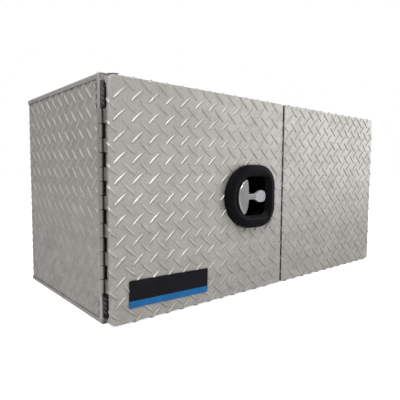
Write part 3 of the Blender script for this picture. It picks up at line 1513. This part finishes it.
@dataclass
class CornerWork:
    """What finishes the front corners: pads, edge trims, sealant, weld beads and the strip's tab.

    tab holds the tab's outline from the left door's upper hinge corner.
    """

    shop: Workshop
    pad: tuple[float, float] = (0.4368, 0.4558)
    pad_ends: tuple[float, float] = (0.0125, 0.4430)
    pad_gap: float = 0.0008
    pad_seat: float = 0.0003
    pad_thick: float = 0.0045
    pad_ease: float = 0.0009
    rib: TreadLug = TreadLug(reach_across=0.0046, reach_up=0.0052, half_width=0.0017, height=0.0016)
    rib_place: float = 0.4508
    rib_pitch: float = 0.0085
    rib_foot: float = 0.0002
    liner: float = 0.0015
    trim_wall: float = 0.0011
    trim_nose: float = 0.0016
    trim_depth: float = 0.0034
    trim_floor: float = 0.0002
    trim_play: float = 0.0001
    lap: tuple[float, float] = (0.4546, 0.4570)
    lap_start: float = 0.0101
    lap_width: float = 0.0040
    lap_ease: float = 0.0006
    stitches: tuple[tuple[float, float], ...] = (
        (0.4270, 0.4405), (0.4110, 0.4200), (0.3950, 0.4045), (0.0300, 0.0420), (0.0130, 0.0240))
    bead_radius: float = 0.0042
    bead_height: float = 0.0150
    bead_stand: float = 0.0014
    bead_foot: float = 0.8
    bead_set: tuple[float, float] = (0.6, 1.3)
    tab: tuple[tuple[float, float], ...] = (
        (0.0015, 0.0002), (0.0195, 0.0002), (0.0235, 0.0034), (0.0223, 0.0042), (0.0115, 0.0030),
        (0.0015, 0.0010))
    tab_back: float = 0.0085
    tab_thick: float = 0.0018

    def build(self) -> None:
        """Make what stands at each corner, then the tab."""
        for side in Side:
            self.pads(side)
        for side in Side:
            self.lap_sealant(side)
            self.corner_bead(side)
        self.strip_tab()

    def pads(self, side: Side) -> None:
        """Rubber pads on a post that close the gap above and below its hinge.

        Args:
            side: which hand of the box.
        """
        post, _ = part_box(side.word + "_front_post")
        hinge_low, hinge_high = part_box(side.word + "_hinge_body_leaf")
        near, far = sorted(side.value * edge for edge in self.pad)
        back = post.y - self.pad_seat
        front = back - self.pad_thick
        spans = {Way.UPPER: (hinge_high.z + self.pad_gap, self.pad_ends[1]),
                 Way.LOWER: (self.pad_ends[0], hinge_low.z - self.pad_gap)}
        for way, span in spans.items():
            shape = Shape()
            box_shape(shape, (near, front, span[0]), (far, back, span[1]), self.pad_ease)
            self.ribs(shape, side, front, span)
            pad = shape.piece(f"{side.word}_{way.word}_pad", sharp=50)
            self.shop.dress(pad, Special.PAD, Special.RIB)
            for face in pad.data.polygons:
                face.material_index = int(face.center.y < front - self.rib_foot)
            self.shop.fit(pad, "box", Slot.RUBBER)
            self.edge_trim(side, way, span)

    def ribs(self, shape: Shape, side: Side, front: float, span: tuple[float, float]) -> None:
        """Slanted ribs moulded on a pad.

        Args:
            shape: the pad's mesh.
            side: the box's hand.
            front: the pad's front face.
            span: its lowest and highest height.
        """
        rows, faces = self.rib.template(1)
        count = int((span[1] - span[0] - 2 * self.rib_pitch) / self.rib_pitch) + 1
        for number in range(count):
            height = span[0] + self.rib_pitch * (number + 1)
            first = len(shape.points)
            shape.points += [Vector((side.value * (self.rib_place + across), front - out, height + up))
                             for across, up, out in rows]
            shape.faces += [tuple(first + corner for corner in face) for face in faces]

    def edge_trim(self, side: Side, way: Way, span: tuple[float, float]) -> None:
        """A rubber channel pressed over the liner's hinge-side edge, beyond the hinge's end.

        Args:
            side: which hand of the box.
            way: whether it is the one above or below the hinge.
            span: its lowest and highest height.
        """
        low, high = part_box(side.word + "_door_liner")
        edge = side.value * max(abs(low.x), abs(high.x))
        middle = low.y + self.liner / 2
        half, slot = self.liner / 2 + self.trim_wall, self.liner / 2 + self.trim_play
        nose, floor, end = self.trim_nose, self.trim_floor, -self.trim_depth
        outline = [(nose, -half), (nose, half), (end, half), (end, slot), (floor, slot), (floor, -slot),
                   (end, -slot), (end, -half)]
        shape = Shape()
        shape.stand([(edge + side.value * x, middle + y) for x, y in outline], *span)
        trim = shape.piece(f"{side.word}_{way.word}_edge_trim", sharp=50)
        self.shop.fit(trim, side.word + "_door", Slot.RUBBER)

    def lap_sealant(self, side: Side) -> None:
        """Short runs of black sealant along the post's lap on the side sheet.

        Args:
            side: which hand of the box.
        """
        post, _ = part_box(side.word + "_front_post")
        near, far = sorted(side.value * edge for edge in self.lap)
        start = post.y + self.lap_start
        shape = Shape()
        for bottom, top in self.stitches:
            box_shape(shape, (near, start, bottom), (far, start + self.lap_width, top), self.lap_ease)
        sealant = shape.piece(side.word + "_lap_sealant", sharp=50)
        self.shop.dress(sealant, Special.WELL)
        self.shop.fit(sealant, "box", Slot.RUBBER)

    def corner_bead(self, side: Side) -> None:
        """The dressed weld bead on the roof's front corner.

        Args:
            side: which hand of the box.
        """
        low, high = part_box("top_panel")
        post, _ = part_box(side.word + "_front_post")
        radius, foot = self.bead_radius, high.z - self.bead_height
        profile = [(0.0, foot), (radius * self.bead_foot, foot)]
        profile += arc((0.0, high.z + self.bead_stand - radius), radius, 0, 90, 8)
        place = Vector((side.value * (abs(low.x) - radius * self.bead_set[0]),
                        post.y + radius * self.bead_set[1], 0))
        shape = Shape()
        shape.turn(profile, place, Axis.Z, 28)
        self.shop.fit(shape.piece(side.word + "_corner_bead", sharp=50), "box", Slot.MILL)

    def strip_tab(self) -> None:
        """The turned-up end of the left door's top weather strip."""
        low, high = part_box("left_door_pan")
        back = low.y + self.tab_back
        shape = Shape()
        shape.loft([[Vector((low.x + across, y, high.z + up)) for across, up in self.tab]
                    for y in (back, back - self.tab_thick)])
        self.shop.fit(shape.piece("left_strip_tab", sharp=50), "left_door", Slot.HINGE)


@dataclass
class RoundBars:
    """Lock rods, slide bolts and knobs: turned bars with eased ends.

    knob holds the knob's waist as (share of its radius, distance from its foot) pairs.
    """

    shop: Workshop
    ease: float = 0.0008
    knob_waist: tuple[tuple[float, float], ...] = (
        (0.8, 0.0), (0.8, 0.002), (0.62, 0.004), (0.72, 0.0062), (1.0, 0.0078))
    knob_crown: tuple[tuple[float, float], ...] = ((1.0, 0.0012), (0.8, 0.0003))

    def build(self) -> None:
        """Make the rods, the bolts and their knobs."""
        for way in Way:
            self.bar(f"{way.word}_lock_rod", f"{way.word}_rod")
            self.bar(f"{way.word}_slide_bolt", f"{way.word}_bolt")
            self.knob(way)

    def bar(self, node: str, body: str) -> None:
        """One bar with chamfered ends in place of a node."""
        low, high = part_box(node)
        centre = (low + high) / 2
        profile = eased_bar((high.x - low.x) / 2, low.z, high.z, self.ease)
        shape = Shape()
        shape.turn(profile, Vector((centre.x, centre.y, 0)), Axis.Z, 36)
        self.shop.fit(shape.piece(body + "_bar", sharp=30), body, Slot.ZINC, node)

    def knob(self, way: Way) -> None:
        """A knob with a waist and a domed end.

        Args:
            way: which of the two bolts it sits on.
        """
        node = f"{way.word}_bolt_knob"
        low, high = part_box(node)
        centre = (low + high) / 2
        radius = (high.x - low.x) / 2
        profile = [(0.0, low.y)] + [(radius * share, low.y + along) for share, along in self.knob_waist]
        profile += [(radius * share, high.y - along) for share, along in self.knob_crown] + [(0.0, high.y)]
        shape = Shape()
        shape.turn(profile, Vector((centre.x, 0, centre.z)), Axis.Y, 32)
        self.shop.fit(shape.piece(f"{way.word}_knob", sharp=30), f"{way.word}_bolt", Slot.ZINC, node)


@dataclass
class LabelPlate:
    """The bare label plate, black with a blue band along its lowest quarter."""

    shop: Workshop
    width: float = 0.187
    shift: float = -0.0015
    height: float = 0.051
    corner: float = 0.003
    ease: float = 0.0004
    tilt: float = math.radians(-1.4)
    band: Colour = (0.012, 0.13, 0.36)
    deep_share: float = 0.8

    def placed(self, across: float, up: float) -> Vector:
        """Where a point of the tilted plate lies, counted from its centre."""
        low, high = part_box("label_plate")
        return (low + high) / 2 + Vector((self.shift, 0, 0)) + self.turn() @ Vector((across, 0, up))

    def turn(self) -> Matrix:
        """The plate's tilt in door view."""
        return Matrix.Rotation(-self.tilt, 3, "Y")

    def outline(self, inset: float) -> Outline:
        """The plate's tilted outline in the frame's X and Z, moved inward by an inset."""
        flat = rounded_box((-self.width / 2, -self.height / 2), (self.width / 2, self.height / 2),
                           self.corner, 6)
        return [(spot.x, spot.z) for spot in (self.placed(*point) for point in shrunk(flat, inset))]

    def build(self) -> None:
        """Make the plate and colour its band."""
        low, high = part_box("label_plate")
        steps = ((0.0, high.y), (0.0, low.y + self.ease), (self.ease, low.y))
        shape = Shape()
        shape.loft([[Vector((x, out, z)) for x, z in self.outline(inset)] for inset, out in steps])
        plate = shape.piece("bare_label", sharp=40)
        line, up = self.placed(0.0, -self.height / 4), self.turn() @ Vector((0, 0, 1))
        split(plate, line, up)
        self.shop.dress(plate, Slot.LABEL)
        plate.data.materials.append(self.band_material())
        for face in plate.data.polygons:
            face.material_index = int((face.center - line).dot(up) < 0)
        self.shop.fit(plate, "left_door", Slot.LABEL, "label_plate")

    def band_material(self) -> bpy.types.Material:
        """The label's finish with blue in place of black."""
        made = self.shop.finishes[Slot.LABEL].copy()
        made.name = "label_band_finish"
        bench = NodeBench(made.node_tree)
        shader = made.node_tree.nodes["Principled BSDF"]
        cloud = bench.band(bench.noise(0.02, detail=3.0), *SOFT)
        deep = tuple(self.deep_share * part for part in self.band)
        bench.feed(shader.inputs["Base Color"], bench.blend(cloud, deep, self.band))
        return made


@dataclass
class CarriedSolids:
    """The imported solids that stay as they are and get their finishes."""

    shop: Workshop

    def build(self) -> None:
        """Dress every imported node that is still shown."""
        for name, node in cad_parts.items():
            if node.hide_render:
                continue
            for place in node.material_slots:
                slot = next((kind for kind in Slot if place.material.name.startswith(kind.value)), Slot.MILL)
                place.material = self.shop.finishes[slot]
            LOG.info("%s keeps its packed shape", name)


# Studio


@dataclass(frozen=True)
class Softbox:
    """One area lamp."""

    name: str
    place: Colour
    aim: Colour
    size: tuple[float, float]
    watts: float
    tint: Colour = (1.0, 1.0, 1.0)

    def build(self) -> None:
        """Hang the lamp and point it at its aim."""
        lamp = bpy.data.lights.new(self.name, "AREA")
        lamp.shape = "RECTANGLE"
        lamp.size, lamp.size_y = self.size
        lamp.energy = self.watts
        lamp.color = self.tint
        made = bpy.data.objects.new(self.name, lamp)
        made.location = self.place
        way = Vector(self.aim) - Vector(self.place)
        made.rotation_euler = way.to_track_quat("-Z", "Y").to_euler()
        bpy.context.scene.collection.objects.link(made)


@dataclass
class Studio:
    """Pale floor, white surroundings, soft lamps and the photograph's camera."""

    lamps: tuple[Softbox, ...] = (
        Softbox("key_softbox", (-1.5, -1.35, 2.1), (0.0, -0.2, 0.2), (0.45, 0.45), 46.0,
                (1.0, 0.985, 0.96)),
        Softbox("overhead_softbox", (-0.6, -1.4, 2.8), (0.0, -0.2, 0.25), (0.6, 0.6), 17.0),
        Softbox("right_softbox", (1.8, -1.2, 1.35), (-0.2, -0.2, 0.25), (0.4, 0.4), 11.0),
        Softbox("far_softbox", (3.2, -1.8, 0.65), (0.3, -0.1, 0.15), (2.4, 1.1), 28.0),
        Softbox("side_softbox", (-2.4, 0.9, 1.9), (-0.45, 0.0, 0.30), (1.2, 1.2), 8.5),
    )
    ambient: tuple[float, float] = (0.17, 0.29)
    floor_glow: tuple[float, float] = (0.78, 1.0)
    floor_colour: Colour = (0.88, 0.88, 0.88)
    floor_radius: float = 14.0
    floor_drop: float = 0.0004
    floor_deep: float = 0.95
    floor_cloud: tuple[float, float] = (0.97, 1.0)
    floor_rough: float = 0.7
    floor_gloss: float = 0.1
    glow_reach: tuple[float, float] = (0.6, 2.5)
    camera_place: Colour = (-0.7744, -0.8519, 0.2859)
    yaw: float = math.radians(41.451)
    pitch: float = math.radians(4.262)
    roll: float = math.radians(0.519)
    focal_pixels: float = 397.88
    middle_pixels: float = 16.0
    sensor: float = 36.0
    clip: tuple[float, float] = (0.01, 60.0)

    def build(self) -> None:
        """Set up the floor, the world, the lamps and the camera."""
        self.floor()
        self.world()
        for lamp in self.lamps:
            lamp.build()
        self.camera()
        bpy.context.scene.view_settings.view_transform = "Standard"

    @staticmethod
    def seen(bench: NodeBench) -> bpy.types.NodeSocket:
        """1 for rays that come straight from the camera."""
        return bench.add("ShaderNodeLightPath").outputs["Is Camera Ray"]

    def floor(self) -> None:
        """A wide pale floor that keeps the shadow."""
        shape = Shape()
        outline = arc((0, 0), self.floor_radius, 0, 360, 64)[:-1]
        shape.points = [Vector((x, y, -self.floor_drop)) for x, y in outline]
        shape.faces = [tuple(range(len(outline)))]
        made = shape.piece("pale_floor")
        paint = bpy.data.materials.new("pale_floor_paint")
        paint.use_nodes = True
        bench = NodeBench(paint.node_tree)
        shader = paint.node_tree.nodes["Principled BSDF"]
        cloud = bench.band(bench.noise(0.4, detail=3.0), *SOFT, *self.floor_cloud)
        deep = tuple(self.floor_deep * part for part in self.floor_colour)
        tone = bench.blend(cloud, deep, self.floor_colour)
        bench.feed(shader.inputs["Base Color"], tone)
        bench.feeds(shader, Roughness=self.floor_rough, Specular_IOR_Level=self.floor_gloss,
                    Emission_Color=(1.0, 1.0, 1.0))
        place = bench.add("ShaderNodeTexCoord")
        away = bench.add("ShaderNodeVectorMath", operation="LENGTH")
        bench.feed(away.inputs[0], place.outputs["Object"])
        rise = bench.band(away.outputs["Value"], *self.glow_reach, *self.floor_glow)
        bench.feed(shader.inputs["Emission Strength"], bench.math("MULTIPLY", self.seen(bench), rise))
        made.data.materials.append(paint)

    def world(self) -> None:
        """White where it is seen, softer where it lights the box."""
        world = bpy.data.worlds.new("studio_white")
        world.use_nodes = True
        bpy.context.scene.world = world
        bench = NodeBench(world.node_tree)
        back = world.node_tree.nodes["Background"]
        back.inputs["Color"].default_value = (1.0, 1.0, 1.0, 1.0)
        way = bench.add("ShaderNodeTexCoord")
        parts = bench.add("ShaderNodeSeparateXYZ")
        bench.feed(parts.inputs[0], way.outputs["Generated"])
        soft = bench.band(parts.outputs["Z"], -0.1, 0.9, *self.ambient)
        bench.feed(back.inputs["Strength"], bench.math("MAXIMUM", soft, self.seen(bench)))

    def camera(self) -> None:
        """The camera as fitted to the photograph."""
        lens = bpy.data.cameras.new("photo_camera")
        lens.sensor_width = self.sensor
        lens.sensor_fit = "HORIZONTAL"
        lens.lens = self.sensor * self.focal_pixels / PHOTO_SIDE
        lens.shift_x = -self.middle_pixels / PHOTO_SIDE
        lens.clip_start, lens.clip_end = self.clip
        made = bpy.data.objects.new("photo_camera", lens)
        level = math.cos(self.pitch)
        ahead = Vector((math.sin(self.yaw) * level, math.cos(self.yaw) * level, -math.sin(self.pitch)))
        right = Vector((math.cos(self.yaw), -math.sin(self.yaw), 0))
        up = right.cross(ahead)
        turned_right = math.cos(self.roll) * right + math.sin(self.roll) * up
        turned_up = -math.sin(self.roll) * right + math.cos(self.roll) * up
        turn = Matrix((turned_right, turned_up, -ahead)).transposed()
        made.matrix_world = Matrix.Translation(self.camera_place) @ turn.to_4x4()
        bpy.context.scene.collection.objects.link(made)
        bpy.context.scene.camera = made


def main() -> None:
    """Build every piece in order and note the box before and after."""
    logging.basicConfig(level=logging.INFO, format="%(message)s")
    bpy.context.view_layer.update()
    Studio().build()
    shop = Workshop(Finishes().by_kind)
    TreadPattern(shop).build()
    LatchBezel(shop).build()
    FoldingHandle(shop).build()
    for side in Side:
        PianoHinge(shop, side).build()
    Seals(shop).build()
    CornerWork(shop).build()
    RoundBars(shop).build()
    LabelPlate(shop).build()
    CarriedSolids(shop).build()


if __name__ == "__main__":
    main()
